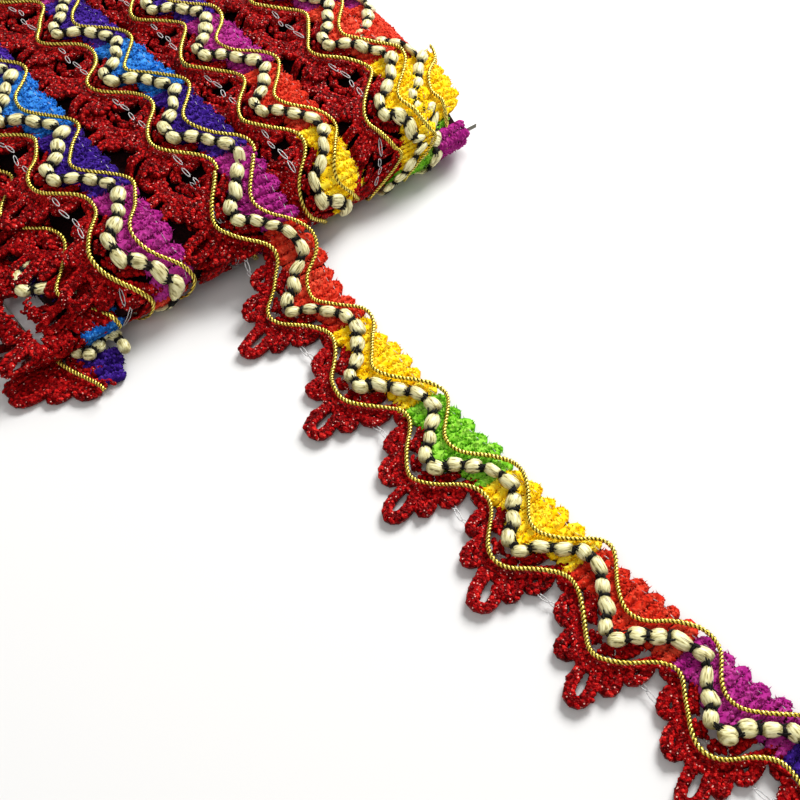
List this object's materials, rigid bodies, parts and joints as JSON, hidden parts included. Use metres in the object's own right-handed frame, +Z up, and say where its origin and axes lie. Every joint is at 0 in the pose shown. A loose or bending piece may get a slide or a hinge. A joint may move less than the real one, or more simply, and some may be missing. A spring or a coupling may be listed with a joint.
{
  "type": "lace ribbon wound on a card",
  "caption": "Crocheted lace ribbon with looped petals, gold cords, a bead-like braid and chenille zones, wound on a flat white card with a long loose end.",
  "frame": {"origin": "centre of the whole part's footprint, on the surface it lies on", "axes": "+X along the wound turns towards the far end of the loose end, +Y across the turns from the looped-petal side to the chenille side, +Z up"},
  "size_m": [0.2906, 0.123, 0.0204],
  "materials": {
    "white_card": "smooth matt white card",
    "wound_lace": "looped crimson yarn with a metallic sparkle, gold cord, cream braid and chenille in bright zones",
    "crimson_gimp": "looped crimson yarn with a metallic sparkle",
    "gold_cord": "twisted metallic gold thread",
    "cream_braid": "satin filament braid tied with black thread",
    "chenille_magenta": "soft chenille pile",
    "chenille_red": "soft chenille pile",
    "chenille_yellow": "soft chenille pile",
    "chenille_green": "soft chenille pile",
    "chenille_purple": "soft chenille pile"
  },
  "bodies": {
    "root": {"card": "white_card", "wound_ribbon": "wound_lace", "loose_petal_gimp": "crimson_gimp", "loose_chenille_1_magenta": "chenille_magenta", "loose_chenille_2_red": "chenille_red", "loose_chenille_3_yellow": "chenille_yellow", "loose_chenille_4_green": "chenille_green", "loose_chenille_5_yellow": "chenille_yellow", "loose_chenille_6_red": "chenille_red", "loose_chenille_7_magenta": "chenille_magenta", "loose_chenille_8_purple": "chenille_purple", "loose_upper_gold_cord": "gold_cord", "loose_lower_gold_cord": "gold_cord", "loose_bead_braid": "cream_braid", "tail_petal_gimp": "crimson_gimp", "tail_chenille_purple": "chenille_purple", "tail_lower_gold_cord": "gold_cord", "tail_bead_braid": "cream_braid"}
  },
  "joints": []
}
